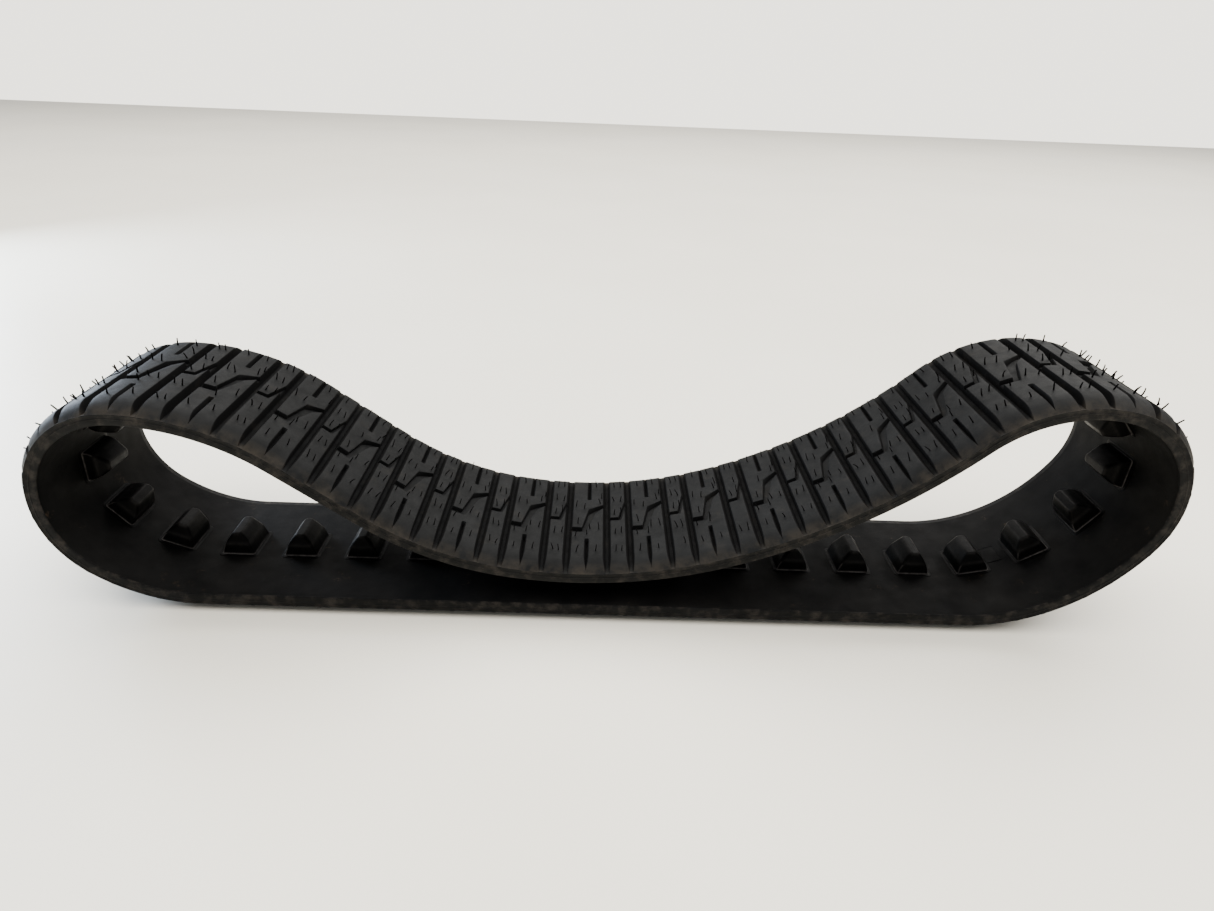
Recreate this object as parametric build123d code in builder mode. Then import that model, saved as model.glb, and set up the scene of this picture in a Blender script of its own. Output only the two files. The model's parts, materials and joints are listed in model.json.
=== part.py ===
"""Endless rubber track with a single row of moulded drive lugs, lying slack on the ground.

The belt is built up as the real one is: a wheel-side cover with the lugs on it, a ply of
steel cords, and an outer cover with the tread blocks.  It lies as a closed loop: a flat
bottom run, a curl at each end, and a top run that sags until its lugs almost stand on the
bottom run.  The belt bends at flex lines, each in a tread groove between two lugs, and the
stretch between two flex lines is one rigid body of four pieces.

Frame: X along the bottom run, Y across the belt, Z up, origin on the ground under the lug
nearest the middle of the bottom run.  Every place along the belt is a length measured on
the cords' line, which neither stretches nor shortens when the belt bends.  Lengths start at
the flex line at the left end of the bottom stretch.
"""
from build123d import *
import os
from math import cos, sin, radians, degrees

# ---------------------------------------------------------------- driving dimensions, mm
pitch = 101.6                 # from lug to lug, and from tread bar to tread bar
belt_width = 280.0

inner_cover = 4.5             # wheel-side rubber, from the ply to the wheels' path
ply_thickness = 3.0           # steel cords and the rubber they are laid in
outer_cover = 10.5            # rubber from the ply to the floor of the tread grooves
edge_cover = 9.7              # rubber from the ply to the corner at each edge
tread_height = 14.0           # tread blocks above the groove floor
ply_margin = 8.0              # rubber strip between the ply and each edge of the belt

lug_length = 52.0             # along the belt, at the base
lug_crest_length = 14.0       # along the belt, at the crest
lug_width = 66.0              # across the belt, at the base
lug_crest_width = 53.0        # across the belt, at the crest
lug_height = 38.0
lug_hip = 19.0                # height at which the lug's ends start to lean in
lug_waist = 18.0              # height at which the lug's flanks lean over more
lug_waist_length = 41.0       # along the belt, at that height
lug_end_lean = 1.5            # how far an end wall leans in from the base to the hip
lug_pad = 2.5                 # height of the flat pad that each lug stands on
lug_pad_margin = 5.0          # how far the pad reaches past the lug's base
lug_root = 3.0                # stock below the base, trimmed away to the belt's curve

groove_mouth = 12.0           # width of a tread groove between the block tops
groove_floor = 7.0            # width of a tread groove at its floor
wide_block = 64.2             # from groove centre to groove centre over the wide bar
shoulder_width = 30.0         # band along each edge where the blocks slope to the cover
lug_place = 39.4              # from a flex line to the centre of the next lug

cover_gap = 3.2               # opening in the wheel-side cover at each flex line
tread_gap = 6.0               # opening in the outer cover, within the groove floor
ply_gap = 1.2                 # opening in the ply at each flex line
cut_spare = 1.0               # how far a cutter stands past what it cuts

# The curls, in order along the belt: radius on the cords' line, and degrees turned.  The
# radii are those of a belt with lugs curl_pitch apart; with another pitch the loop is longer or
# shorter and curls in proportion, so that the sag stays clear of the bottom run.
curl_pitch = 101.6
right_toe, right_toe_turn = 280.0, 60.0
right_end, right_end_turn = 139.0, 109.0
right_crest, right_crest_turn = 207.0, 54.3
left_crest, left_crest_turn = 362.0, 34.0
left_end, left_end_turn = 135.0, 145.0
left_toe, left_toe_turn = 254.0, 36.0

# The sagging top run, from right to left: three arcs, their radii in these proportions.
sag_right_share, sag_right_turn = 1.83, 25.0
sag_middle_share, sag_middle_turn = 1.45, 26.0
sag_left_share = 1.0

# Pitches in each rigid stretch, counted outwards from the bottom one.  The two chains meet
# at the open flex line near the lowest point of the sag.
bottom_pitches = 12
right_pitches = [2, 2, 2, 2, 2, 3]
left_pitches = [2, 2, 2, 2, 2, 2]
toe_lap = 26.0                # how far the bottom stretch reaches up the left toe

# ---------------------------------------------------------------- worked out from them
lug_count = bottom_pitches + sum(right_pitches) + sum(left_pitches)
belt_length = pitch * lug_count
sag_left_turn = (right_toe_turn + right_end_turn + right_crest_turn + left_crest_turn
                 + left_end_turn + left_toe_turn - 360 - sag_right_turn - sag_middle_turn)
half_ply = ply_thickness / 2
wheel_face = half_ply + inner_cover        # cords' line to the wheel side
groove_face = half_ply + outer_cover       # cords' line to the groove floor
edge_face = half_ply + edge_cover          # cords' line to the belt's outer corner
tread_face = groove_face + tread_height    # cords' line to the block tops
half_width = belt_width / 2
half_ply_width = half_width - ply_margin
half_top_width = half_width - shoulder_width

curl_scale = pitch / curl_pitch
toe_radius = curl_scale * left_toe         # of the left toe, on the cords' line

right_curl = [(curl_scale * right_toe, right_toe_turn), (curl_scale * right_end, right_end_turn),
              (curl_scale * right_crest, right_crest_turn)]
left_curl = [(curl_scale * left_crest, left_crest_turn), (curl_scale * left_end, left_end_turn),
             (toe_radius, left_toe_turn)]
sag = [(sag_right_share, sag_right_turn), (sag_middle_share, sag_middle_turn),
       (sag_left_share, sag_left_turn)]


def arcs_sum(arcs, heading, side):
    """Total chord and length of tangent arcs that turn left (side 1) or right (side -1)."""
    across, up, length = 0.0, 0.0, 0.0
    for radius, turn in arcs:
        start, end = radians(heading), radians(heading + side * turn)
        across += side * radius * (sin(end) - sin(start))
        up += side * radius * (cos(start) - cos(end))
        length += radius * radians(turn)
        heading += side * turn
    return across, up, length, heading


def close_the_loop():
    """Bottom run, left slope and sag radius that close the loop at the belt's length.

    With every turn fixed, the loop's end point and its length are linear in the lengths and
    radii.  Three equations then give the three sizes that are left open.
    """
    right_x, right_z, right_length, heading = arcs_sum(right_curl, 0.0, 1)
    sag_x, sag_z, sag_length, heading = arcs_sum(sag, heading, -1)
    slope = radians(heading)
    left_x, left_z, left_length, heading = arcs_sum(left_curl, heading, 1)
    curls_z = right_z + left_z
    spare = belt_length - right_length - left_length + right_x + left_x
    per_slope = 1 - cos(slope)
    radius = (spare * sin(slope) + curls_z * per_slope) / (
        (sag_length - sag_x) * sin(slope) - sag_z * per_slope)
    slope_run = -(curls_z + radius * sag_z) / sin(slope)
    bottom = belt_length - right_length - left_length - slope_run - radius * sag_length
    return bottom, slope_run, radius


bottom_run, left_slope, sag_radius = close_the_loop()

# The loop as tangent stretches from the first flex line: (length, curvature).
lap_turn = toe_lap / toe_radius
loop = [(toe_lap, 1 / toe_radius), (bottom_run, 0.0)]
for radius, turn in right_curl:
    loop.append((radius * radians(turn), 1 / radius))
for share, turn in sag:
    loop.append((share * sag_radius * radians(turn), -1 / (share * sag_radius)))
loop.append((left_slope, 0.0))
for radius, turn in left_curl[:2]:
    loop.append((radius * radians(turn), 1 / radius))
loop.append((toe_radius * radians(left_toe_turn) - toe_lap, 1 / toe_radius))

# The lug nearest the middle of the bottom stretch stands over the origin.
first_x = -(bottom_pitches // 2 * pitch + lug_place) + toe_lap - toe_radius * sin(lap_turn)
first_z = tread_face + toe_radius * (1 - cos(lap_turn))


def station(length):
    """Point on the cords' line, and heading in radians, at a length along the belt."""
    x, z, heading = first_x, first_z, -lap_turn
    for stretch, curvature in loop:
        step = min(length, stretch)
        turned = heading + step * curvature
        if curvature == 0:
            x, z = x + step * cos(heading), z + step * sin(heading)
        else:
            x += (sin(turned) - sin(heading)) / curvature
            z += (cos(heading) - cos(turned)) / curvature
        heading, length = turned, length - step
        if length <= 0:
            break
    return x, z, heading


def stretches(start, end):
    """Parts of the loop's stretches between two lengths: (from, length, curvature)."""
    parts, done = [], 0.0
    for stretch, curvature in loop:
        low, high = max(start, done), min(end, done + stretch)
        if high - low > 0.001:
            parts.append((low, high - low, curvature))
        done += stretch
    return parts


def cross_plane(length):
    """Plane across the belt: its x is the belt's width, its y points to the wheel side."""
    x, z, heading = station(length)
    return Plane(origin=(x, 0, z), x_dir=(0, 1, 0), z_dir=(cos(heading), 0, sin(heading)))


def side_plane(length):
    """Plane along the belt: its x is the belt's heading, its y points to the wheel side."""
    x, z, heading = station(length)
    return Plane(origin=(x, 0, z), x_dir=(cos(heading), 0, sin(heading)), z_dir=(0, -1, 0))


def run_profile(points, start, end):
    """Carry a closed cross profile along the belt: straight, or round each arc's centre."""
    for low, length, curvature in stretches(start, end):
        with BuildSketch(cross_plane(low)) as section:
            with BuildLine():
                Polyline(*points, close=True)
            make_face()
        if curvature == 0:
            extrude(section.sketch, amount=length)
        else:
            x, z, heading = station(low)
            centre = (x - sin(heading) / curvature, 0, z + cos(heading) / curvature)
            way = (0, -1, 0) if curvature > 0 else (0, 1, 0)
            turn = degrees(abs(curvature) * length)
            revolve(section.sketch, axis=Axis(centre, way), revolution_arc=turn)


# Cross profiles, as (across the belt, towards the wheel side) from the cords' line.
inner_profile = [(-half_width, wheel_face), (half_width, wheel_face), (half_width, -half_ply),
                 (half_ply_width, -half_ply), (half_ply_width, half_ply),
                 (-half_ply_width, half_ply), (-half_ply_width, -half_ply),
                 (-half_width, -half_ply)]
ply_profile = [(-half_ply_width, half_ply), (half_ply_width, half_ply),
               (half_ply_width, -half_ply), (-half_ply_width, -half_ply)]
tread_profile = [(-half_width, -half_ply), (half_width, -half_ply), (half_width, -edge_face),
                 (half_top_width, -tread_face), (-half_top_width, -tread_face),
                 (-half_width, -edge_face)]

# What the lugs' root stock is trimmed back with: the belt under the lugs, all its layers.
core_half_width = lug_width / 2 + lug_pad_margin + cut_spare
core_profile = [(-core_half_width, wheel_face), (core_half_width, wheel_face),
                (core_half_width, -groove_face), (-core_half_width, -groove_face)]


def cut_groove(length):
    """Cut one groove with leaning walls right across the tread."""
    lean = (groove_mouth - groove_floor) / 2 / tread_height
    mouth = groove_mouth / 2 + lean * cut_spare
    with BuildSketch(side_plane(length)) as section:
        with BuildLine():
            Polyline((-groove_floor / 2, -groove_face), (groove_floor / 2, -groove_face),
                     (mouth, -tread_face - cut_spare), (-mouth, -tread_face - cut_spare),
                     close=True)
        make_face()
    extrude(section.sketch, amount=half_width + cut_spare, both=True, mode=Mode.SUBTRACT)


def build_lug(length):
    """One drive lug on a low pad: flanks lean in two steps to a flat crest, ends above a hip."""
    foot = wheel_face - lug_root
    hip = wheel_face + lug_hip
    crest = wheel_face + lug_height
    pad_top = wheel_face + lug_pad
    waist = wheel_face + lug_waist
    half_length, half_waist, half_crest = lug_length / 2, lug_waist_length / 2, lug_crest_length / 2
    end, hip_end, crest_end = lug_width / 2, lug_width / 2 - lug_end_lean, lug_crest_width / 2
    with BuildPart() as lug:
        with BuildSketch(side_plane(length)):
            with BuildLine():
                Polyline((-half_length, foot), (half_length, foot), (half_length, wheel_face),
                         (half_waist, waist), (half_crest, crest), (-half_crest, crest),
                         (-half_waist, waist), (-half_length, wheel_face), close=True)
            make_face()
        extrude(amount=lug_width, both=True)
        with BuildSketch(cross_plane(length)):
            with BuildLine():
                Polyline((-end, foot), (end, foot), (end, wheel_face), (hip_end, hip),
                         (crest_end, crest), (-crest_end, crest), (-hip_end, hip),
                         (-end, wheel_face), close=True)
            make_face()
        extrude(amount=lug_length, both=True, mode=Mode.INTERSECT)
        with BuildSketch(side_plane(length)):
            with BuildLine():
                pad_half = half_length + lug_pad_margin
                Polyline((-pad_half, foot), (pad_half, foot), (pad_half, pad_top),
                         (-pad_half, pad_top), close=True)
            make_face()
        extrude(amount=end + lug_pad_margin, both=True)
    return lug.part


def build_body(name, start, pitches):
    """The four pieces of the stretch that starts at a flex line and is some pitches long."""
    end = start + pitches * pitch

    with BuildPart() as cover:
        run_profile(inner_profile, start + cover_gap / 2, end - cover_gap / 2)
    cover.part.label = f"wheel_side_cover_{name}"

    with BuildPart() as ply:
        run_profile(ply_profile, start + ply_gap / 2, end - ply_gap / 2)
    ply.part.label = f"steel_cord_ply_{name}"

    with BuildPart() as tread:
        run_profile(tread_profile, start + tread_gap / 2, end - tread_gap / 2)
        for bar in range(pitches + 1):
            cut_groove(start + bar * pitch)
        for bar in range(pitches):
            cut_groove(start + bar * pitch + wide_block)
    tread.part.label = f"tread_cover_{name}"

    with BuildPart() as belt_core:
        run_profile(core_profile, start, end)
    with BuildPart() as lugs:
        for number in range(pitches):
            add(build_lug(start + number * pitch + lug_place))
        add(belt_core.part, mode=Mode.SUBTRACT)
    lugs.part.label = f"drive_lugs_{name}"

    for piece in (cover.part, ply.part, tread.part, lugs.part):
        export_step(piece, f"parts/{piece.label}.step")


os.makedirs("parts", exist_ok=True)
build_body("bottom", 0.0, bottom_pitches)
place = bottom_pitches * pitch
for number, pitches in enumerate(right_pitches, start=1):
    build_body(f"right_{number}", place, pitches)
    place += pitches * pitch
place = belt_length
for number, pitches in enumerate(left_pitches, start=1):
    place -= pitches * pitch
    build_body(f"left_{number}", place, pitches)

print("bottom run", round(bottom_run, 1), "left slope", round(left_slope, 1),
      "sag radius", round(sag_radius, 1), "belt length", round(belt_length, 1))
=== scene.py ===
# %% [markdown]
# # A rubber track lying slack on the floor
# The track is one endless belt: steel cords inside, smooth rubber with a row of drive lugs on
# the wheel side, and tread blocks on the ground side.  The CAD model fixes its size and how it
# bends.  This lesson builds the visible rubber round that frame as surfaces worked out with
# numpy, so that every groove, lug and vent hair follows the belt wherever it goes.

# %% The fixed frame
import json
import math

import bpy
import numpy as np
from mathutils import Matrix

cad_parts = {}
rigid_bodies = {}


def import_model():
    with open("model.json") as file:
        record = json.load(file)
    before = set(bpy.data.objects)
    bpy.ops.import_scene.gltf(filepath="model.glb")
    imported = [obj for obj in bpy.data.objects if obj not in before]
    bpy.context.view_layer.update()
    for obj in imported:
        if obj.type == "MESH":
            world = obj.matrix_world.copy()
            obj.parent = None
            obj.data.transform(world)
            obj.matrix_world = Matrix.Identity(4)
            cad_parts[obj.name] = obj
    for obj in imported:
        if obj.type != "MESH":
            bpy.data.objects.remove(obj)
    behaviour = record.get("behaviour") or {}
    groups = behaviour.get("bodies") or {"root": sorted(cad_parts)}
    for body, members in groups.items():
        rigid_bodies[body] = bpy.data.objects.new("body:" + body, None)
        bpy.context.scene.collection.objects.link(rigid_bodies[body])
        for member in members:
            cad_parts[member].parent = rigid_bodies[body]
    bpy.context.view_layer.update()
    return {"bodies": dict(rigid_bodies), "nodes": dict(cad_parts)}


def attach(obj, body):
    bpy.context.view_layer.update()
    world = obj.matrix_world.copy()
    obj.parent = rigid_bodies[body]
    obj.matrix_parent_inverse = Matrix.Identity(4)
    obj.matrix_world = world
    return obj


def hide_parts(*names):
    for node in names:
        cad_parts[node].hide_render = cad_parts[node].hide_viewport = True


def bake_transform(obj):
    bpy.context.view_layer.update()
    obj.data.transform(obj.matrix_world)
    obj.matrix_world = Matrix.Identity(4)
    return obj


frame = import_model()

# %% [markdown]
# ## The camera
# The track is seen from just above table height, a little over a metre in front of it and from
# slightly left of its middle, with a wide lens.  A camera could be aimed with a tracking
# constraint, but two directions say the same thing plainly: where it looks, and which way is
# right.  Nothing has to be evaluated first.

# %% Camera
camera_place = (-0.0343, -1.1078, 0.7936)
camera_forward = np.array([0.0192, 0.8880, -0.4594])
camera_right = np.array([0.9993, -0.0022, 0.0374])
lens_width = 36.0
lens_length = 23.31


def aim(forward, right):
    """Rotation whose third column is minus forward, whose first is right made square to it,
    and whose second is their cross product."""
    back = -forward / np.linalg.norm(forward)
    across = right - back * (right @ back)
    across = across / np.linalg.norm(across)
    return np.column_stack([across, np.cross(back, across), back])


camera_data = bpy.data.cameras.new("camera")
camera_data.sensor_width = lens_width
camera_data.lens = lens_length
camera = bpy.data.objects.new("camera", camera_data)
bpy.context.scene.collection.objects.link(camera)
turned = np.eye(4)
turned[:3, :3] = aim(camera_forward, camera_right)
turned[:3, 3] = camera_place
camera.matrix_world = Matrix(turned.tolist())
bpy.context.scene.camera = camera
print("camera", camera_place, "lens", lens_length)

# %% [markdown]
# ## Helpers for materials
# Every rubber finish is mixed from the same few ingredients: soft noise for blotches, fine
# noise for grain, and masks that say where dust lies or where an edge has been rubbed.  A node
# tree can be drawn by hand in the editor; small helpers that add one node and join its inputs
# keep the recipe readable as text.


# %% Material helpers
def new_material(name):
    """An empty node material with an output, returned with its node tree."""
    material = bpy.data.materials.new(name)
    material.use_nodes = True
    tree = material.node_tree
    tree.nodes.clear()
    return material, tree


def add_node(tree, kind, settings=None, **inputs):
    """One node; each input is a number, a colour or another node's output to join."""
    node = tree.nodes.new(kind)
    for key, value in (settings or {}).items():
        setattr(node, key, value)
    for key, value in inputs.items():
        socket = node.inputs[int(key[1:])] if key[0] == "n" and key[1:].isdigit() else (
            node.inputs[key.replace("_", " ")])
        if isinstance(value, bpy.types.NodeSocket):
            tree.links.new(value, socket)
        else:
            socket.default_value = value
    return node


def blotches(tree, place, size, detail=3.0, rough=0.55):
    """Soft noise between 0 and 1 whose blotches are about size metres across."""
    return add_node(tree, "ShaderNodeTexNoise", Vector=place, Scale=1.0 / size, Detail=detail,
                    Roughness=rough).outputs["Fac"]


def ramp(tree, value, low, high, bottom=0.0, top=1.0):
    """value carried from the span low..high to the span bottom..top, and held at its ends."""
    return add_node(tree, "ShaderNodeMapRange", n0=value, n1=low, n2=high, n3=bottom,
                    n4=top).outputs[0]


def times(tree, first, second):
    """Product of two numbers."""
    return add_node(tree, "ShaderNodeMath", {"operation": "MULTIPLY"}, n0=first,
                    n1=second).outputs[0]


def plus(tree, first, second):
    """Sum of two numbers."""
    return add_node(tree, "ShaderNodeMath", {"operation": "ADD"}, n0=first,
                    n1=second).outputs[0]


def tint(tree, share, under, over):
    """Colour under at share 0 and colour over at share 1."""
    node = add_node(tree, "ShaderNodeMix", {"data_type": "RGBA"})
    for socket, value in ((node.inputs[0], share), (node.inputs[6], under),
                          (node.inputs[7], over)):
        if isinstance(value, bpy.types.NodeSocket):
            tree.links.new(value, socket)
        else:
            socket.default_value = value
    return node.outputs[2]


def grey(level, warm=0.0):
    """A colour of that brightness, pushed towards brown by warm or towards blue below 0."""
    return (level * (1 + warm), level, level * (1 - warm), 1.0)


print("material helpers ready")

# %% [markdown]
# ## The floor and the light
# The track stands on a plain pale floor under soft light from above, so its black rubber is
# drawn by broad reflections and not by hard highlights.  A big area lamp over the track gives
# the sheen on the tread blocks, and a small cool one at the left stands in for a window and
# gleams on the left curl.  A pale world fills the shadows; the wheel side stays dark because
# the belt itself shades it.

# %% Floor and light
studio_half = 9.0
floor_mesh = bpy.data.meshes.new("studio_floor")
floor_mesh.from_pydata([(-studio_half, -studio_half, 0), (studio_half, -studio_half, 0),
                        (studio_half, studio_half, 0), (-studio_half, studio_half, 0)], [],
                       [(0, 1, 2, 3)])
floor = bpy.data.objects.new("studio_floor", floor_mesh)
bpy.context.scene.collection.objects.link(floor)

floor_paint, tree = new_material("pale_floor")
place = add_node(tree, "ShaderNodeTexCoord").outputs["Object"]
cloud = ramp(tree, blotches(tree, place, 0.9, 2.0), 0.3, 0.7)
floor_colour = tint(tree, cloud, (0.750, 0.720, 0.630, 1), (0.790, 0.760, 0.670, 1))
shine = add_node(tree, "ShaderNodeBsdfPrincipled", Base_Color=floor_colour, Roughness=0.42)
add_node(tree, "ShaderNodeOutputMaterial", Surface=shine.outputs[0])
floor_mesh.materials.append(floor_paint)

world = bpy.data.worlds.new("soft_studio")
bpy.context.scene.world = world
world.use_nodes = True
sky_tree = world.node_tree
sky_tree.nodes.clear()
fill = add_node(sky_tree, "ShaderNodeBackground", Color=(0.95, 0.95, 0.97, 1), Strength=0.55)
backdrop = add_node(sky_tree, "ShaderNodeBackground", Color=(1.0, 0.96, 0.86, 1),
                    Strength=2.8)
seen = add_node(sky_tree, "ShaderNodeLightPath").outputs["Is Camera Ray"]
sky = add_node(sky_tree, "ShaderNodeMixShader", n0=seen, n1=fill.outputs[0],
               n2=backdrop.outputs[0])
add_node(sky_tree, "ShaderNodeOutputWorld", Surface=sky.outputs[0])


def soft_lamp(name, place, target, size, power, colour):
    """A square area lamp at place that faces target."""
    data = bpy.data.lights.new(name, "AREA")
    data.shape = "RECTANGLE"
    data.size, data.size_y = size
    data.energy = power
    data.color = colour
    lamp = bpy.data.objects.new(name, data)
    bpy.context.scene.collection.objects.link(lamp)
    forward = np.array(target, float) - np.array(place, float)
    side = np.array([1.0, 0.0, 0.0]) if abs(forward[0]) < 0.9 * np.linalg.norm(forward) else (
        np.array([0.0, 1.0, 0.0]))
    matrix = np.eye(4)
    matrix[:3, :3] = aim(forward, side)
    matrix[:3, 3] = place
    lamp.matrix_world = Matrix(matrix.tolist())
    return lamp


soft_lamp("ceiling", (1.0, 1.6, 5.0), (0.4, 1.1, 0.0), (14.0, 13.0), 2650.0, (1.0, 0.97, 0.915))
soft_lamp("window", (-3.0, 1.5, 0.9), (-0.8, 0.0, 0.3), (1.3, 1.5), 150.0, (0.74, 0.85, 1.0))
print("floor", 2 * studio_half, "m across, world and two soft lamps")

# %% [markdown]
# ## The line of the belt
# The steel cords neither stretch nor shorten, so the belt's shape is the shape of their line:
# a flat run on the floor, a curl at each end and a sag between them, all tangent arcs.  The
# turns and radii are the CAD model's own; the bottom run, the left slope and the size of the
# sag are the three lengths that close the loop.

# %% Sizes of the belt, in metres
pitch = 0.1016
pitch_count = 37
half_width = 0.140
wheel_face = 0.006
groove_face = 0.012
edge_face = 0.0112
tread_face = 0.026
lug_place = 0.0394
belt_length = pitch * pitch_count
print("belt", round(belt_length, 4), "m long,", 2 * half_width, "m wide")


# %% Closing the loop
def arc_chain(radii, turns, heading, side):
    """Tangent arcs: each chord is 2 r sin(turn / 2) long and points along its mean heading.
    Returns the chords' sum, the arcs' length and the last heading."""
    radii, turns = np.array(radii), np.radians(turns)
    ends = heading + side * np.concatenate([[0.0], np.cumsum(turns)])
    middle = (ends[:-1] + ends[1:]) / 2
    chords = 2 * radii * np.sin(turns / 2)
    return (np.sum(chords * np.cos(middle)), np.sum(chords * np.sin(middle)),
            np.sum(radii * turns), ends[-1])


right_radii, right_turns = [0.280, 0.139, 0.207], [60.0, 109.0, 54.3]
left_radii, left_turns = [0.362, 0.135, 0.254], [34.0, 145.0, 36.0]
sag_shares = [1.83, 1.45, 1.0]
sag_turns = [25.0, 26.0, sum(right_turns) + sum(left_turns) - 360.0 - 25.0 - 26.0]

right_x, right_z, right_length, heading = arc_chain(right_radii, right_turns, 0.0, 1)
sag_x, sag_z, sag_length, slope = arc_chain(sag_shares, sag_turns, heading, -1)
left_x, left_z, left_length, heading = arc_chain(left_radii, left_turns, slope, 1)
spare = belt_length - right_length - left_length + right_x + left_x
curls_z = right_z + left_z
sag_radius = (spare * math.sin(slope) + curls_z * (1 - math.cos(slope))) / (
    (sag_length - sag_x) * math.sin(slope) - sag_z * (1 - math.cos(slope)))
left_slope = -(curls_z + sag_radius * sag_z) / math.sin(slope)
bottom_run = belt_length - right_length - left_length - left_slope - sag_radius * sag_length
print("bottom run", round(bottom_run, 4), "left slope", round(left_slope, 4), "sag radius",
      round(sag_radius, 4))

# %% Stretches of the line, and any point on it
toe_lap = 0.026
lap_turn = toe_lap / left_radii[2]
stretch_lengths = np.array(
    [toe_lap, bottom_run] + [r * math.radians(t) for r, t in zip(right_radii, right_turns)]
    + [s * sag_radius * math.radians(t) for s, t in zip(sag_shares, sag_turns)] + [left_slope]
    + [r * math.radians(t) for r, t in zip(left_radii, left_turns)])
stretch_lengths[-1] -= toe_lap
curvatures = np.array(
    [1 / left_radii[2], 0.0] + [1 / r for r in right_radii]
    + [-1 / (s * sag_radius) for s in sag_shares] + [0.0] + [1 / r for r in left_radii])


def chord(length, curvature, heading):
    """Vector from one end of an arc to the other: its length is s sinc(k s / 2), which is
    right for a straight too, and it points along the mean heading."""
    reach = length * np.sinc(curvature * length / (2 * np.pi))
    middle = heading + curvature * length / 2
    return reach * np.cos(middle), reach * np.sin(middle)


starts = np.concatenate([[0.0], np.cumsum(stretch_lengths)[:-1]])
headings = -lap_turn + np.concatenate([[0.0], np.cumsum(stretch_lengths * curvatures)[:-1]])
step_x, step_z = chord(stretch_lengths, curvatures, headings)
corner_x = (-(6 * pitch + lug_place) + toe_lap - left_radii[2] * math.sin(lap_turn)
            + np.concatenate([[0.0], np.cumsum(step_x)[:-1]]))
corner_z = (tread_face + left_radii[2] * (1 - math.cos(lap_turn))
            + np.concatenate([[0.0], np.cumsum(step_z)[:-1]]))


def belt_frame(length):
    """Place and heading of the cords' line at each length: the stretch it falls in, then that
    stretch's chord from its first point."""
    length = np.mod(length, belt_length)
    part = np.searchsorted(starts, length, side="right") - 1
    along = length - starts[part]
    x, z = chord(along, curvatures[part], headings[part])
    return corner_x[part] + x, corner_z[part] + z, headings[part] + curvatures[part] * along


def on_belt(length, across, out):
    """Points of the belt: walk length along the cords' line, then go out from it at a right
    angle, towards the ground side, and across by y.  All three may be whole arrays."""
    length, across, out = np.broadcast_arrays(length, across, out)
    x, z, turn = belt_frame(length)
    return np.stack([x + out * np.sin(turn), across, z - out * np.cos(turn)], axis=-1)


gap = on_belt(belt_length - 1e-6, 0.0, 0.0) - on_belt(0.0, 0.0, 0.0)
print("loop closes to", float(np.linalg.norm(gap)), "m")

# %% [markdown]
# ## The tread
# Each pitch of the tread carries a wide and a narrow block, with a straight groove between
# blocks from edge to edge, a zigzag groove through the middle of the wide block, a kinked one
# through the narrow block, and two short grooves.  They could be cut with booleans, more than
# two hundred times over.  Here the belt's skin is one grid whose lines are laid along the
# groove edges, and the height of each grid point says how deep it lies: walls stay crisp and
# the mesh stays light.

# %% The height of the block tops
block_low = 0.108
fall_end = half_width - 0.0008
lip_height = 0.0004


def block_top(across):
    """Height of the block tops: level on the crown, then down along each edge on a round
    shoulder: a little of a straight slope, and mostly a power of the way to the edge."""
    t = np.clip((np.abs(across) - block_low) / (fall_end - block_low), 0, 1)
    fall = 0.15 * t + 0.85 * t ** 2.4
    return tread_face - (tread_face - edge_face - lip_height) * fall


print("block tops", block_top(np.array([0.0, 0.12, 0.13, 0.14])))

# %% [markdown]
# A straight groove is drawn by the same seven lines on each side of its middle: the floor, the
# foot of the wall, the wall, and a small round over the lip.  The walls lean by the same angle
# everywhere, so where the blocks fall away towards the belt's edge the groove narrows to a tip.
# A second list says how much painted shade darkens the rubber on each of those lines, for the
# finish to read.

# %% Lines of a straight groove
groove_half = 0.0028
wall_lean = 0.0033
side_fixed = groove_half + np.array([-groove_half, -0.0004, 0.0, 0.00015, 0.0003, 0.0005,
                                    0.0012])
side_share = np.array([0.0, 0.0, 0.04, 0.5, 0.94, 0.985, 1.0])
# painted shade on each line of a straight groove: darkest on the walls, less on the floor
side_shade = np.array([0.45, 0.55, 1.0, 1.0, 0.9, 0.4, 0.0])
wide_block = 0.0642
print("groove", 2 * (groove_half + wall_lean), "m wide at the lips")

# %% [markdown]
# The short grooves run across the blocks too, but from a square end near the middle out to the
# shoulder, where they fade to a point.  One near the far edge and one near the near edge share
# the same seven lines, which shift sideways between them.

# %% Lines along a pitch
short_fixed = np.array([-0.0040, -0.0032, -0.0012, 0.0, 0.0012, 0.0032, 0.0040])
short_depth = np.array([0.0, 0.10, 1.0, 1.0, 1.0, 0.10, 0.0])
# painted shade on the lines of a short groove
short_shade = np.array([0.0, 0.6, 1.0, 0.8, 1.0, 0.6, 0.0])
short_floor = tread_face - 0.0095
before_short = np.array([0.0108, 0.0145, 0.0185, 0.0225])
after_short = np.array([0.0387, 0.0417, 0.0460, 0.0520])
narrow_lines = np.array([0.0755, 0.0773, 0.0795, 0.0817, 0.0855, 0.0905])
short_rows = slice(11, 18)
print("lines of a short groove", len(short_fixed))

# %% [markdown]
# Across the belt the lines are close together where something happens: on the round shoulders,
# at the square ends of the short grooves, and on both sides of the groove in the middle.  The
# eight lines of that middle groove are given as shares of its width, because it wanders.

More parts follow.
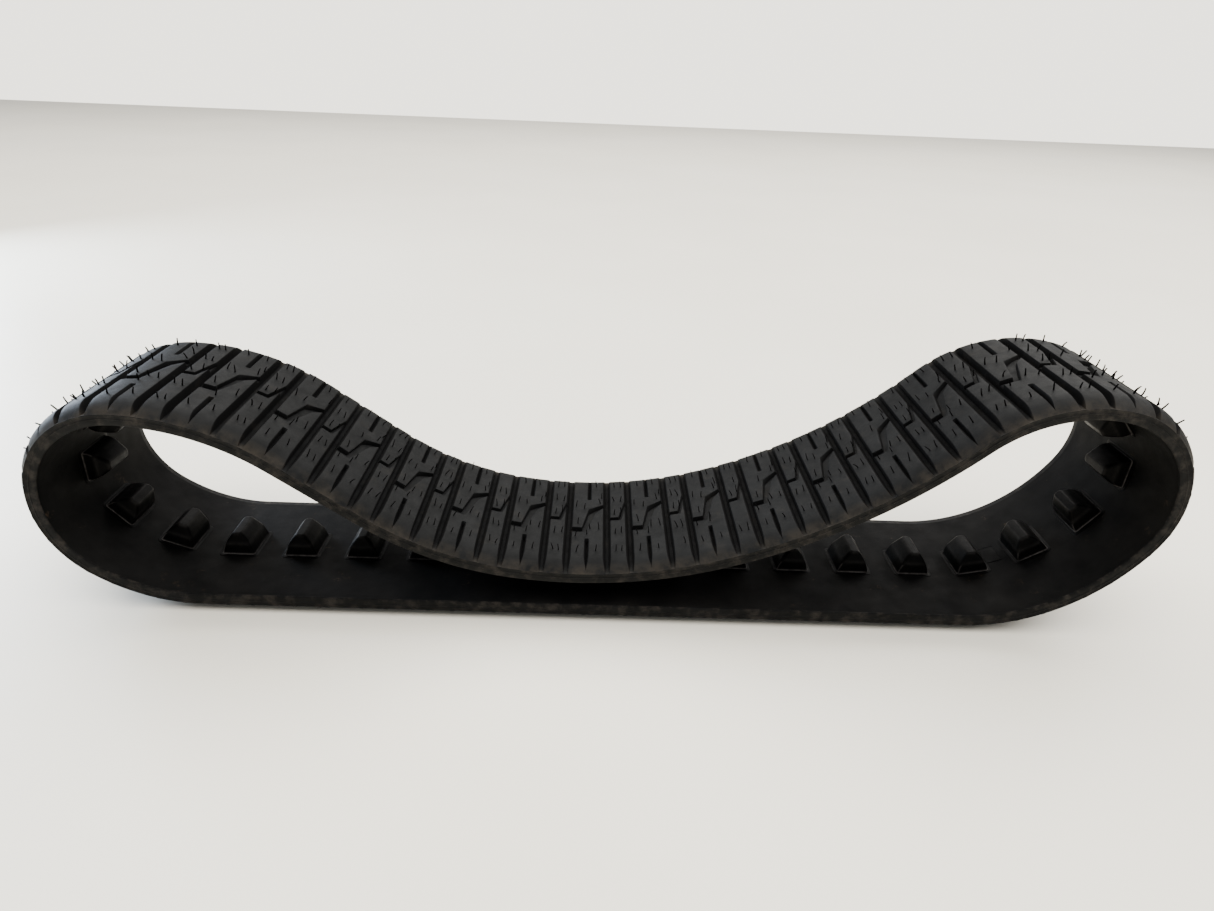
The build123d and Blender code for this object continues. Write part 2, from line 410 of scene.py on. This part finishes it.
# %% Lines across the belt
low_lines = np.array([-0.1400, -0.1395, -0.1380, -0.1355, -0.1325, -0.1290, -0.1255, -0.1225,
                      -0.1190, -0.1150, -0.1110, -0.1070, -0.1000, -0.0900, -0.0780, -0.0700,
                      -0.0664, -0.0650, -0.0636, -0.0600])
high_lines = np.array([0.0530, 0.0556, 0.0570, 0.0584, 0.0640, 0.0740, 0.0850, 0.0960, 0.1070,
                       0.1110, 0.1150, 0.1190, 0.1225, 0.1255, 0.1290, 0.1325, 0.1355, 0.1380,
                       0.1395, 0.1400])
cross_steps = np.array([-0.08, 0.0, 0.12, 0.19, 0.81, 0.88, 1.0, 1.08])
cross_depth = np.array([0.0, 0.05, 1.0, 1.0, 1.0, 1.0, 0.05, 0.0])
# painted shade on the lines of the middle groove
cross_shade = np.array([0.0, 0.4, 1.0, 0.15, 0.15, 1.0, 0.5, 0.0])
cross_floor = 0.0065
between = np.array([0.25, 0.5, 0.75])
low_count, high_count = len(low_lines), len(high_lines)
cross_count = len(cross_steps)
across_count = low_count + 3 + cross_count + 3 + high_count
print("lines across the tread", across_count)

# %% [markdown]
# The groove through the middle of the blocks turns two corners in a wide block and one in a
# narrow block.  Its two edges are written as broken lines: how far across the belt each edge
# lies at each place along the pitch.  Grid lines then follow them exactly.


# %% The groove through the middle of the blocks
def middle_edges(u):
    """Both edges of the middle groove at each place u along a pitch, from corner to corner in
    straight lines; over a straight groove's floor they cross from one block to the next."""
    low_u = [-groove_half, groove_half, 0.0060, 0.0185, 0.0360, wide_block - groove_half,
             wide_block + groove_half, 0.0705, 0.0773, pitch - groove_half, pitch + groove_half]
    low_y = [-0.0105, 0.0310, 0.0290, 0.0140, -0.0450, -0.0440, 0.0190, 0.0190, -0.0105,
             -0.0105, 0.0310]
    high_u = [-groove_half, groove_half, 0.0060, 0.0310, 0.0417, wide_block - groove_half,
              wide_block + groove_half, 0.0705, 0.0817, pitch - groove_half, pitch + groove_half]
    high_y = [-0.0015, 0.0410, 0.0395, 0.0250, -0.0310, -0.0300, 0.0471, 0.0471, -0.0015,
              -0.0015, 0.0410]
    return np.interp(u, low_u, low_y), np.interp(u, high_u, high_y)


print("edges at 30 mm along", [round(float(e), 4) for e in middle_edges(0.030)])


# %% [markdown]
# With its lines settled, one pitch of tread is three arrays of numbers for the places and one
# for the painted shade.  Boolean cutting would give the same walls, but only after minutes of
# work and with untidy faces; here the grid comes out whole, and is printed to be safe: the steps
# along and across have to be positive everywhere, or the surface would fold over itself.

# %% One pitch of tread
def tread_pitch():
    """Place along, place across, height and painted shade of every grid point of one pitch.
    First come the lines along, moved by the fall of the shoulder; then the lines across, moved
    by the middle groove; then the heights, the lowest of block, straight, middle and short
    groove; and last how much painted shade each point gets: most on the walls, less on the
    floors."""
    flat_across = np.concatenate([low_lines, np.linspace(-0.05, 0.045, across_count - low_count
                                                         - high_count), high_lines])
    top = block_top(flat_across)
    rise = np.clip((top - groove_face) / (tread_face - groove_face), 0, 1)[None, :]
    side = side_fixed[:, None] + wall_lean * side_share[:, None] * rise
    short_scale = np.clip((top - short_floor) / (tread_face - short_floor), 0.18, 1)[None, :]
    middle = np.interp(flat_across, [-0.046, 0.030, 0.050], [0.0330, 0.0310, 0.0305])[None, :]
    flat = np.ones((1, across_count))
    u = np.concatenate([
        side, before_short[:, None] * flat, middle + short_fixed[:, None] * short_scale,
        after_short[:, None] * flat, wide_block - side[:0:-1], wide_block + side,
        narrow_lines[:, None] * flat, pitch - side[:0:-1]])
    share = np.concatenate([side_share, np.ones(15), side_share[:0:-1], side_share,
                            np.ones(6), side_share[:0:-1]])[:, None]
    painted_shade = np.concatenate([side_shade, np.zeros(15), side_shade[:0:-1], side_shade,
                            np.zeros(6), side_shade[:0:-1]])[:, None] * flat * np.sqrt(rise)
    low, high = middle_edges(u)
    y = np.tile(flat_across, (len(u), 1))
    first, last = low_count + 3, low_count + 3 + cross_count
    span_low, span_high = low[:, first:last], high[:, first:last]
    y[:, first:last] = span_low + (span_high - span_low) * cross_steps
    y[:, low_count:first] = low_lines[-1] + (y[:, first:first + 1] - low_lines[-1]) * between
    y[:, last:last + 3] = y[:, last - 1:last] + (high_lines[0] - y[:, last - 1:last]) * between
    top = block_top(y)
    height = groove_face + share * (top - groove_face)
    cut = np.full_like(height, np.inf)
    cut[:, first:last] = top[:, first:last] - cross_floor * cross_depth
    height = np.minimum(height, cut)
    painted_shade[:, first:last] = np.maximum(painted_shade[:, first:last], share * cross_shade)
    reach = np.interp(flat_across, [-0.0664, -0.0636, 0.0556, 0.0584], [1, 0, 0, 1])[None, :]
    rows = short_rows
    depth = np.clip(top[rows] - short_floor, 0, 1) * short_depth[:, None] * reach
    height[rows] = np.minimum(height[rows], top[rows] - depth)
    fading = np.clip((top[rows] - short_floor) * 1000, 0, 1)
    painted_shade[rows] = np.maximum(painted_shade[rows], short_shade[:, None] * reach * fading)
    return u, y, height, painted_shade


tread_u, tread_y, tread_height, tread_shade = tread_pitch()
print("one pitch of tread:", tread_u.shape, "points, steps along all positive:",
      bool(np.all(np.diff(tread_u, axis=0) > 0)), "and across:",
      bool(np.all(np.diff(tread_y, axis=1) > 0)))

# %% [markdown]
# ## The skin of the belt
# Each cross-section of the belt is a closed ring: over the tread, down one edge, back along
# the smooth wheel side and up the other edge.  Carrying the ring along the belt gives a closed
# skin.  The edge is not plain: the mould's parting line stands out as a low rib along it.

# %% Edge and wheel side of the ring
edge_across = np.array([0.1402, 0.1399, 0.1394, 0.1393, 0.1398, 0.1398, 0.1393, 0.1390,
                        0.1387, 0.1380, 0.1368])
edge_out = np.array([0.0109, 0.0102, 0.0090, 0.0056, 0.0050, 0.0040, 0.0034, -0.0010,
                     -0.0042, -0.0056, -0.0060])
wheel_across = np.array([0.1280, 0.1050, 0.0800, 0.0550, 0.0300, 0.0, -0.0300, -0.0550,
                         -0.0800, -0.1050, -0.1280])
edge_count, wheel_count = len(edge_out), len(wheel_across)
ring_count = across_count + 2 * edge_count + wheel_count
ring_rest_across = np.concatenate([edge_across, wheel_across, -edge_across[::-1]])
ring_rest_out = np.concatenate([edge_out, np.full(wheel_count, -wheel_face), edge_out[::-1]])
print("points in a ring", ring_count)


# %% Skin between two pitch lines
def skin_grid(first, last):
    """Length, place across, height and painted groove shade of every ring point from pitch line
    first to pitch line last: one pitch of tread repeated, a closing line, and the rest of the
    ring."""
    count = last - first
    length = np.tile(tread_u, (count, 1)) + np.repeat(np.arange(first, last) * pitch,
                                                      len(tread_u))[:, None]
    length = np.vstack([length, last * pitch + tread_u[:1]])
    across, out, painted_shade = (np.vstack([np.tile(grid, (count, 1)), grid[:1]])
                          for grid in (tread_y, tread_height, tread_shade))
    rest = np.ones((len(length), 1))
    middle = length[:, low_count:low_count + 1]
    return (np.hstack([length, middle * np.ones((1, len(ring_rest_out)))]),
            np.hstack([across, rest * ring_rest_across]),
            np.hstack([out, rest * ring_rest_out]),
            np.hstack([painted_shade, rest * np.zeros(len(ring_rest_out))]))


def ring_faces(rows, columns):
    """Quads between neighbouring rings, as one array of four indices to a face; the last
    point of a ring joins its first."""
    row, column = np.meshgrid(np.arange(rows - 1), np.arange(columns), indexing="ij")
    beside = (column + 1) % columns
    quads = np.stack([row * columns + column, row * columns + beside,
                      (row + 1) * columns + beside, (row + 1) * columns + column], axis=-1)
    return quads.reshape(-1, 4)


def mesh_from(name, points, quads, caps=(), material_rows=None, smooth_angle=None):
    """A mesh object from arrays of points and quads, plus a few closing faces of any size."""
    mesh = bpy.data.meshes.new(name)
    faces = [tuple(q) for q in quads.tolist()] + [tuple(int(i) for i in c) for c in caps]
    mesh.from_pydata(points.reshape(-1, 3).tolist(), [], faces)
    if material_rows is not None:
        mesh.polygons.foreach_set("material_index", material_rows.astype(np.int32))
    mesh.polygons.foreach_set("use_smooth", np.ones(len(faces), bool))
    if smooth_angle is not None:
        mesh.set_sharp_from_angle(angle=math.radians(smooth_angle))
    mesh.update()
    thing = bpy.data.objects.new(name, mesh)
    bpy.context.scene.collection.objects.link(thing)
    return thing


print("skin helpers ready")

# %% [markdown]
# ## Where the skin is parted
# The CAD belt bends at twelve flex lines and lies open at a thirteenth.  They could be left as
# hinges between stiff pieces, but rubber bends smoothly, so each skin piece over a flex line is
# centred on it and follows the smooth curve of the belt's line there; it is fastened to neither
# rigid stretch.  The pieces meet at grooves half way between, where the belt stays still.

# %% Skin pieces and what they bend between
right_chain = ["bottom"] + [f"right_{i}" for i in range(1, 7)]
left_chain = ["bottom"] + [f"left_{i}" for i in range(1, 7)]
bend_half = 0.055
# name, first and last pitch line, the body before, the body after, the flex line's pitch
skin_plan = [("bottom", 1, 11, "bottom", None, None)]
skin_plan += [(f"right_bend_{i}", 9 + 2 * i, 11 + 2 * i, right_chain[i - 1], right_chain[i],
               10 + 2 * i) for i in range(1, 7)]
skin_plan += [("right_end", 23, 25, "right_6", None, None),
              ("left_end", 25, 26, "left_6", None, None)]
skin_plan += [(f"left_bend_{i}", 38 - 2 * i, 40 - 2 * i, left_chain[i], left_chain[i - 1],
               39 - 2 * i) for i in range(1, 7)]
covered = sum(row[2] - row[1] for row in skin_plan)
print(len(skin_plan), "skin pieces over", covered, "of", pitch_count, "pitches")


# %% [markdown]
# ## The rubber finishes
# Black rubber is never one black.  The compound blooms and greys in clouds, its grain breaks up
# the reflections, and handling leaves dust on the shoulders, scuffs on the edges and trimmed
# flash on the lugs.  Painted shade darkens the walls and floors of the grooves, and a painted
# highlight lightens the lugs' lips, hips, crests and one upright corner.  An image texture could
# show all that, but it would have to be unwrapped over every piece; noise on Object coordinates
# needs no unwrapping and has no seams.

# %% The mixture shared by every rubber
roughness_spread = 0.07
grain_spread = 0.04
black_roughness = 0.45
relief_depth = 0.0006


def rubber(name, dark, light, rough, gloss, blotch=0.05, grain=0.0009, bump=0.25, dust_and_highlight=None,
           deep=None):
    """Black rubber: two close greys in blotches, and a finer grain in roughness and bump, whose
    height is the grain plus three times the patches.  gloss is the index of refraction; the
    first extra mask adds pale dirt, scuffs, rust, or the lugs' trimmed flash and painted
    highlight, and deep adds painted shade in the grooves."""
    material, tree = new_material(name)
    place = add_node(tree, "ShaderNodeTexCoord").outputs["Object"]
    cloud = ramp(tree, blotches(tree, place, blotch, 5.0, 0.6), 0.35, 0.68)
    colour = tint(tree, cloud, dark, light)
    if deep:
        mask_deep, over = deep(tree, place)
        colour = tint(tree, mask_deep, colour, over)
    if dust_and_highlight:
        mask, over = dust_and_highlight(tree, place)
        colour = tint(tree, mask, colour, over)
    fine = blotches(tree, place, grain, 4.0, 0.6)
    patch = blotches(tree, place, blotch * 0.35, 4.0, 0.55)
    roughness = plus(tree, ramp(tree, patch, 0.3, 0.7, rough - roughness_spread,
                                rough + roughness_spread),
                     ramp(tree, fine, 0.3, 0.7, -grain_spread, grain_spread))
    if deep:
        roughness = plus(tree, roughness, times(tree, mask_deep, black_roughness))
    relief = plus(tree, fine, times(tree, patch, 3.0))
    bumps = add_node(tree, "ShaderNodeBump", Strength=bump, Distance=relief_depth,
                     Height=relief)
    surface = add_node(tree, "ShaderNodeBsdfPrincipled", Base_Color=colour, Roughness=roughness,
                       Normal=bumps.outputs[0])
    surface.inputs["IOR"].default_value = gloss
    add_node(tree, "ShaderNodeOutputMaterial", Surface=surface.outputs[0])
    return material


print("rubber mixture ready")


# %% Masks for dust, scuffs, wear, painted shade and painted highlights
def edge_band(tree, place, low, high):
    """Mask that rises from 0 to 1 as the distance from the belt's middle line goes low..high."""
    apart = add_node(tree, "ShaderNodeSeparateXYZ", Vector=place).outputs["Y"]
    away = add_node(tree, "ShaderNodeMath", {"operation": "ABSOLUTE"}, n0=apart).outputs[0]
    return ramp(tree, away, low, high)


def specks(tree, place, size, low, high):
    """Sparse spots: only the peaks of a noise show."""
    return ramp(tree, blotches(tree, place, size, 6.0, 0.7), low, high)


def tread_dust(tree, place):
    """Pale brown dirt that has stayed along the shoulder, and thin smears of it elsewhere."""
    shoulder = times(tree, edge_band(tree, place, 0.124, 0.139),
                     specks(tree, place, 0.03, 0.38, 0.62))
    smears = specks(tree, place, 0.045, 0.56, 0.74)
    return plus(tree, times(tree, shoulder, 0.45), times(tree, smears, 0.12)), (
        0.038, 0.031, 0.023, 1)


def painted_groove_shade(tree, place):
    """Painted shade in the grooves: their walls and floors are darkened to a very deep grey,
    most on the walls.
    """
    painted_shade = add_node(tree, "ShaderNodeAttribute", {"attribute_name": "painted_groove_shade"})
    # the deep grey colour of the painted groove shade
    return times(tree, painted_shade.outputs["Fac"], 0.95), (0.0004, 0.0004, 0.0005, 1)


def edge_scuffs(tree, place):
    """Grey-brown scuffs along the belt's edge, a noise's peaks at six tenths strength."""
    return times(tree, specks(tree, place, 0.018, 0.48, 0.74), 0.6), (0.040, 0.034, 0.029, 1)


def rust_marks(tree, place):
    """Small rusty spots on the smooth wheel side: fine specks, only where wide ones allow."""
    regions = specks(tree, place, 0.05, 0.6, 0.75)
    return times(tree, regions, specks(tree, place, 0.006, 0.5, 0.72)), (0.07, 0.048, 0.030, 1)


def lug_flash_and_highlight(tree, place):
    """Lighter rubber on a lug's lips, hip, crest and one upright corner, broken up by specks:
    partly trimmed mould flash and partly painted highlight.
    """
    rim = add_node(tree, "ShaderNodeAttribute", {"attribute_name": "lug_rim_highlight"})
    broken = specks(tree, place, 0.03, 0.3, 0.55)
    # the pale grey of the flash and the painted highlight
    return times(tree, rim.outputs["Fac"], broken), (0.060, 0.056, 0.054, 1)


print("masks ready")

# %% The five rubbers
tread_rubber = rubber("tread_rubber", grey(0.0014, -0.14), grey(0.0042, -0.08), 0.58, 1.172,
                      dust_and_highlight=tread_dust, deep=painted_groove_shade)
edge_rubber = rubber("edge_rubber", grey(0.0012, -0.1), grey(0.0036, -0.04), 0.50, 1.17, 0.03,
                     dust_and_highlight=edge_scuffs)
wheel_rubber = rubber("wheel_side_rubber", grey(0.0011, -0.10), grey(0.0046, 0.06), 0.68, 1.14,
                      0.09, dust_and_highlight=rust_marks)
# the lugs' extra mask is trimmed flash and painted highlight
lug_rubber = rubber("lug_rubber", grey(0.0006, -0.10), grey(0.0020, 0.02), 0.46, 1.12, 0.04,
                    dust_and_highlight=lug_flash_and_highlight)
hair_rubber = rubber("vent_hair_rubber", grey(0.0004), grey(0.0008), 0.85, 1.12, 0.02)
print("rubber materials", [m.name for m in (tread_rubber, edge_rubber, wheel_rubber,
                                            lug_rubber, hair_rubber)])

# %% [markdown]
# ## Making the skin
# Fifteen skin pieces come off the same grid.  A piece on a rigid stretch is fastened to it; a
# piece over a flex line keeps the smooth curve of the belt's line, as rubber over steel cords
# does, and is fastened to no stretch.


# %% Fastening a piece to the frame
def fasten(thing, row):
    """The piece rides on one stretch; a piece over a flex line only has its place baked into its
    points and is fastened to no stretch."""
    _, _, _, before, after, flex = row
    if after is None:
        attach(thing, before)
        return
    ends = on_belt(np.array([-1, 1]) * bend_half + flex * pitch, 0.0, 0.0)
    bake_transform(thing)


def set_numbers(thing, name, values):
    """Stores one number for each point of the mesh, for its material to read."""
    store = thing.data.attributes.new(name, "FLOAT", "POINT")
    store.data.foreach_set("value", np.ascontiguousarray(values, np.float32).ravel())


print("a bend is spread over", 2 * bend_half, "m of belt")

# %% The skin pieces
ring_material = np.concatenate([
    np.full(across_count - 1, 0), np.full(edge_count + 1, 1), np.full(wheel_count, 2),
    np.full(edge_count, 1)])
skins = {}
for row in skin_plan:
    name, first, last = row[:3]
    length, across, out, painted_shade = skin_grid(first, last)
    points = on_belt(length, across, out)
    quads = ring_faces(len(length), ring_count)
    last_ring = np.arange(ring_count) + (len(length) - 1) * ring_count
    caps = [np.arange(ring_count)[::-1], last_ring]
    rows = np.concatenate([np.tile(ring_material, len(length) - 1), [0, 0]])
    skin = mesh_from(f"belt_skin_{name}", points, quads, caps, rows, 32)
    for material in (tread_rubber, edge_rubber, wheel_rubber):
        skin.data.materials.append(material)
    # the painted groove shade, one number to a point, for the tread finish
    set_numbers(skin, "painted_groove_shade", painted_shade)
    fasten(skin, row)
    skins[name] = skin
for name, skin in skins.items():
    body = name.replace("_bend", "")
    if body in frame["bodies"]:
        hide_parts(f"tread_cover_{body}", f"wheel_side_cover_{body}")
print(len(skins), "skin pieces,", sum(len(o.data.polygons) for o in skins.values()), "faces")

# %% [markdown]
# ## The drive lugs
# A drive lug is a solid tooth of rubber on a low pad: its flanks bulge as they lean to a
# narrow crest, its ends stand nearly upright to a hip and then lean in.  A subdivided cage
# would need creases to keep the pad's lip crisp, so the lug is a stack of rounded rectangles
# instead, each with its own height, length, width and corner radius.  The pad bends with the
# belt, and the tooth above it stays stiff.

# %% Shape of a lug
# rows of height, half length, half width, corner radius and how much painted highlight and flash
# wear
lug_rings = np.array([
    [-0.0040, 0.0318, 0.0385, 0.0070, 0.0], [0.0002, 0.0313, 0.0381, 0.0070, 0.0],
    [0.0008, 0.0302, 0.0370, 0.0064, 0.0], [0.0010, 0.0288, 0.0356, 0.0058, 0.0],
    [0.0011, 0.0270, 0.0340, 0.0044, 0.0], [0.0019, 0.0268, 0.0338, 0.0040, 1.0],
    [0.0022, 0.0261, 0.0332, 0.0036, 0.8], [0.0045, 0.0252, 0.0329, 0.0036, 0.0],
    [0.0100, 0.0235, 0.0327, 0.0038, 0.0], [0.0160, 0.0213, 0.0325, 0.0042, 0.0],
    [0.0185, 0.0202, 0.0322, 0.0046, 0.05], [0.0205, 0.0192, 0.0316, 0.0050, 0.1],
    [0.0250, 0.0166, 0.0302, 0.0056, 0.0], [0.0295, 0.0134, 0.0289, 0.0060, 0.0],
    [0.0330, 0.0106, 0.0278, 0.0060, 0.0], [0.0354, 0.0085, 0.0271, 0.0056, 0.1],
    [0.0369, 0.0072, 0.0264, 0.0052, 0.2], [0.0378, 0.0060, 0.0255, 0.0046, 0.15],
    [0.0380, 0.0046, 0.0242, 0.0034, 0.05]])
corner_steps = 6


def ring_stack(rings):
    """Rounded rectangles, one to a row of rings: each corner is a quarter circle about a point
    that lies one radius in from both sides.  Returns places along, across and up, and the fifth
    column, which on a lug is its share of painted highlight and flash wear."""
    angles = np.radians(np.concatenate([np.linspace(0, 90, corner_steps) + quarter
                                        for quarter in (0, 90, 180, 270)]))
    up, half_long, half_wide, radius, highlight_and_wear = rings.T[:, :, None]
    along = np.repeat([1, -1, -1, 1], corner_steps) * (half_long - radius)
    across = np.repeat([1, 1, -1, -1], corner_steps) * (half_wide - radius)
    along, across = along + radius * np.cos(angles), across + radius * np.sin(angles)
    return along, across, up + 0 * along, highlight_and_wear + 0 * along


lug_u, lug_y, lug_up, lug_highlight_and_flash = ring_stack(lug_rings)
ring_size = lug_u.shape[1]
stiff = np.clip((lug_up - 0.003) / 0.006, 0, 1)
# the lighter lip is painted highlight and trimmed flash, strongest on the near side of the pad,
# and a painted highlight climbs one upright corner
near_side_highlight = np.where(lug_up < 0.01, np.clip(-lug_y / 0.032, 0.12, 1) ** 2, 1.0)
highlight_corner = np.abs(np.arange(ring_size) - 2.5 * corner_steps + 0.5) < 1
corner_highlight = highlight_corner * np.interp(lug_up, [0.0015, 0.003, 0.015, 0.019],
                                        [0.0, 0.7, 0.7, 0.0])
lug_highlight_and_flash = np.maximum(lug_highlight_and_flash * near_side_highlight, corner_highlight)
print("one lug:", lug_u.size, "points,", round(2 * float(lug_rings[0, 1]), 4), "m long")


def lug_points(number):
    """Points of lug number: near the pad they follow the belt's curve, above it they keep the
    lug's straight shape, square to the belt at its middle."""
    centre = number * pitch + lug_place
    bent = on_belt(centre + lug_u, lug_y, -wheel_face - lug_up)
    foot = on_belt(centre, lug_y, -wheel_face - lug_up)
    turn = belt_frame(centre)[2]
    straight = foot + lug_u[..., None] * np.array([np.cos(turn), 0.0, np.sin(turn)])
    return bent + (straight - bent) * stiff[..., None]


def ring_caps(size, count):
    """The two closing faces of each of count ring stacks of that many points."""
    return [start + ring for start in np.arange(count) * size
            for ring in (np.arange(ring_size)[::-1], np.arange(size - ring_size, size))]


# %% [markdown]
# The lugs stand between the flex lines, so each is carried by one rigid stretch.  All lugs of a
# stretch are one mesh: copying the one shape by adding an offset to its face numbers costs
# nothing, and a stretch of twelve lugs still has only a few thousand faces.

# %% The lugs of each rigid stretch
lug_plan = [("bottom", 0, 12)]
lug_plan += [(f"right_{i}", 10 + 2 * i, 12 + 2 * i + (i == 6)) for i in range(1, 7)]
lug_plan += [(f"left_{i}", 37 - 2 * i, 39 - 2 * i) for i in range(1, 7)]
lug_size = lug_u.size
lug_quads = ring_faces(len(lug_rings), ring_size)
lugs = {}
for body, first, last in lug_plan:
    count = last - first
    points = np.stack([lug_points(number) for number in range(first, last)])
    quads = (lug_quads[None] + np.arange(count)[:, None, None] * lug_size).reshape(-1, 4)
    lug = mesh_from(f"lugs_{body}", points, quads, ring_caps(lug_size, count), None, 38)
    lug.data.materials.append(lug_rubber)
    # the painted highlight and flash, one number to a point, for the lug finish
    set_numbers(lug, "lug_rim_highlight", np.tile(lug_highlight_and_flash, (count, 1, 1)))
    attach(lug, body)
    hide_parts(f"drive_lugs_{body}")
    lugs[body] = lug
print(sum(row[2] - row[1] for row in lug_plan), "lugs on", len(lugs), "stretches")

# %% [markdown]
# ## The blank label
# Between two lugs the mould leaves a small framed rectangle, where a maker would put a mark.
# It stays blank here: a rim under a millimetre high round a flat field, made as one more stack
# of rounded rectangles that follows the belt.

# %% Label frame
label_rings = np.array([
    [-0.0010, 0.0140, 0.0205, 0.0030, 0.0], [0.0005, 0.0138, 0.0203, 0.0028, 0.1],
    [0.0008, 0.0133, 0.0198, 0.0024, 0.3], [0.0008, 0.0127, 0.0192, 0.0020, 0.2],
    [0.0003, 0.0121, 0.0186, 0.0016, 0.0]])
label_u, label_y, label_up, _ = ring_stack(label_rings)
label_middle, label_side = 12.44 * pitch + lug_place, 0.006
points = on_belt(label_middle + label_u, label_side + label_y, -wheel_face - label_up)
label = mesh_from("blank_label", points, ring_faces(len(label_rings), ring_size),
                  ring_caps(label_u.size, 1), None, 38)
label.data.materials.append(wheel_rubber)
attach(label, "right_1")
print("label of", label_u.size, "points on right_1")

# %% [markdown]
# ## Vent hairs
# Where air left the mould through pinholes, rubber followed it and left hairs a centimetre
# long on the blocks.  Hundreds of them could be particle hair; four-sided tapering prisms,
# each leaning its own way, are lighter and bend with the belt.  The bottom run has none: it
# lies on them, so they are folded flat beneath it.

# %% Where hairs stand, and how they vary
hair_u = np.array([46, 18, 8, 52, 38, 12, 48, 28, 13, 32, 52, 48, 18] + [88, 77] * 5) * 0.001
hair_y = np.array([100, 100, 62, 35, 30, 45, -18, -35, -38, -52, -55, -100, -97,
                   98, 98, 52, 50, 8, 14, -48, -48, -98, -98]) * 0.001
dice = np.random.default_rng(11)
hair_length_low, hair_length_high = 0.0085, 0.0125
hair_radius = 0.00120
hair_taper = 0.30
root_scatter_u, root_scatter_y = 0.0008, 0.0012
lean_spread = 0.11
floor_clearance = 0.003
share_kept = 0.93
hair_steps = np.array([0.0, 0.35, 0.7, 1.0])
square = np.radians([45, 135, 225, 315])
hair_points = len(hair_steps) * len(square)
print(len(hair_u), "hairs to a pitch, up to", hair_length_high, "m long")


# %% Points of the hairs
def hairs_between(first, last):
    """Points of every hair from pitch line first to last, each a stack of four squares that
    leans and curls by its own amounts: lean t plus curl t squared, times the hair's length.
    Hairs whose tips would reach the floor are left out."""
    root_u = (hair_u[None] + np.arange(first, last)[:, None] * pitch).ravel()
    root_y = np.tile(hair_y, last - first)
    count = len(root_u)
    root_u = root_u + dice.normal(0, root_scatter_u, count)
    root_y = root_y + dice.normal(0, root_scatter_y, count)
    tall = dice.uniform(hair_length_low, hair_length_high, count)
    lean_u, lean_y, curl_u, curl_y = dice.normal(0, lean_spread, (4, count))
    top = block_top(root_y) - 0.0004
    tip_z = on_belt(root_u, root_y, top + tall)[:, 2]
    keep = (tip_z > floor_clearance) & (dice.uniform(0, 1, count) < share_kept)
    t = hair_steps[:, None]
    parts = [a[keep][:, None, None] for a in (root_u, root_y, tall, lean_u, lean_y, curl_u,
                                              curl_y, top)]
    root_u, root_y, tall, lean_u, lean_y, curl_u, curl_y, top = parts
    radius = hair_radius * (1 - hair_taper * t)
    u = root_u + tall * (lean_u * t + curl_u * t * t) + radius * np.cos(square)
    y = root_y + tall * (lean_y * t + curl_y * t * t) + radius * np.sin(square)
    return on_belt(u, y, top + tall * t)


print("hair helper ready")

# %% The hairs of each skin piece
hair_quads = ring_faces(len(hair_steps), len(square))[:, ::-1]
hair_ends = np.array([[0, 1, 2, 3], [15, 14, 13, 12]])
hairs = {}
for row in skin_plan:
    name, first, last = row[:3]
    points = hairs_between(first, last)
    count = len(points)
    if count == 0:
        continue
    faces = np.vstack([hair_quads, hair_ends])
    faces = (faces[None] + np.arange(count)[:, None, None] * hair_points).reshape(-1, 4)
    hair = mesh_from(f"vent_hairs_{name}", points, faces)
    hair.data.materials.append(hair_rubber)
    fasten(hair, row)
    hairs[name] = hair
print(sum(len(o.data.vertices) for o in hairs.values()) // hair_points, "vent hairs on",
      len(hairs), "skin pieces")

# %% [markdown]
# ## The cord ply
# The steel-cord ply lies inside the skin, where the CAD model puts it.  Hundreds of separate
# cords could be swept as tubes, but nobody sees them, so the ply stays as the CAD solid and
# gets its own finish: brassy steel cords side by side in thin rubber, drawn by a wave.

# %% Cord ply
cord_finish, tree = new_material("steel_cord_ply")
place = add_node(tree, "ShaderNodeTexCoord").outputs["Object"]
stripes = add_node(tree, "ShaderNodeTexWave", {"bands_direction": "Y"}, Vector=place,
                   Scale=95.0, Distortion=0.3).outputs["Fac"]
cord_colour = tint(tree, ramp(tree, stripes, 0.3, 0.7), (0.02, 0.019, 0.018, 1),
                   (0.36, 0.27, 0.14, 1))
cord_bump = add_node(tree, "ShaderNodeBump", Strength=0.6, Distance=0.0008, Height=stripes)
cord_shine = add_node(tree, "ShaderNodeBsdfPrincipled", Base_Color=cord_colour,
                      Metallic=0.0, Normal=cord_bump.outputs[0],
                      Roughness=ramp(tree, stripes, 0.0, 1.0, 0.7, 0.4))
add_node(tree, "ShaderNodeOutputMaterial", Surface=cord_shine.outputs[0])
plies = [node for name, node in frame["nodes"].items() if name.startswith("steel_cord_ply")]
for node in plies:
    node.data.materials.clear()
    node.data.materials.append(cord_finish)
print(len(plies), "ply nodes keep their CAD shape")
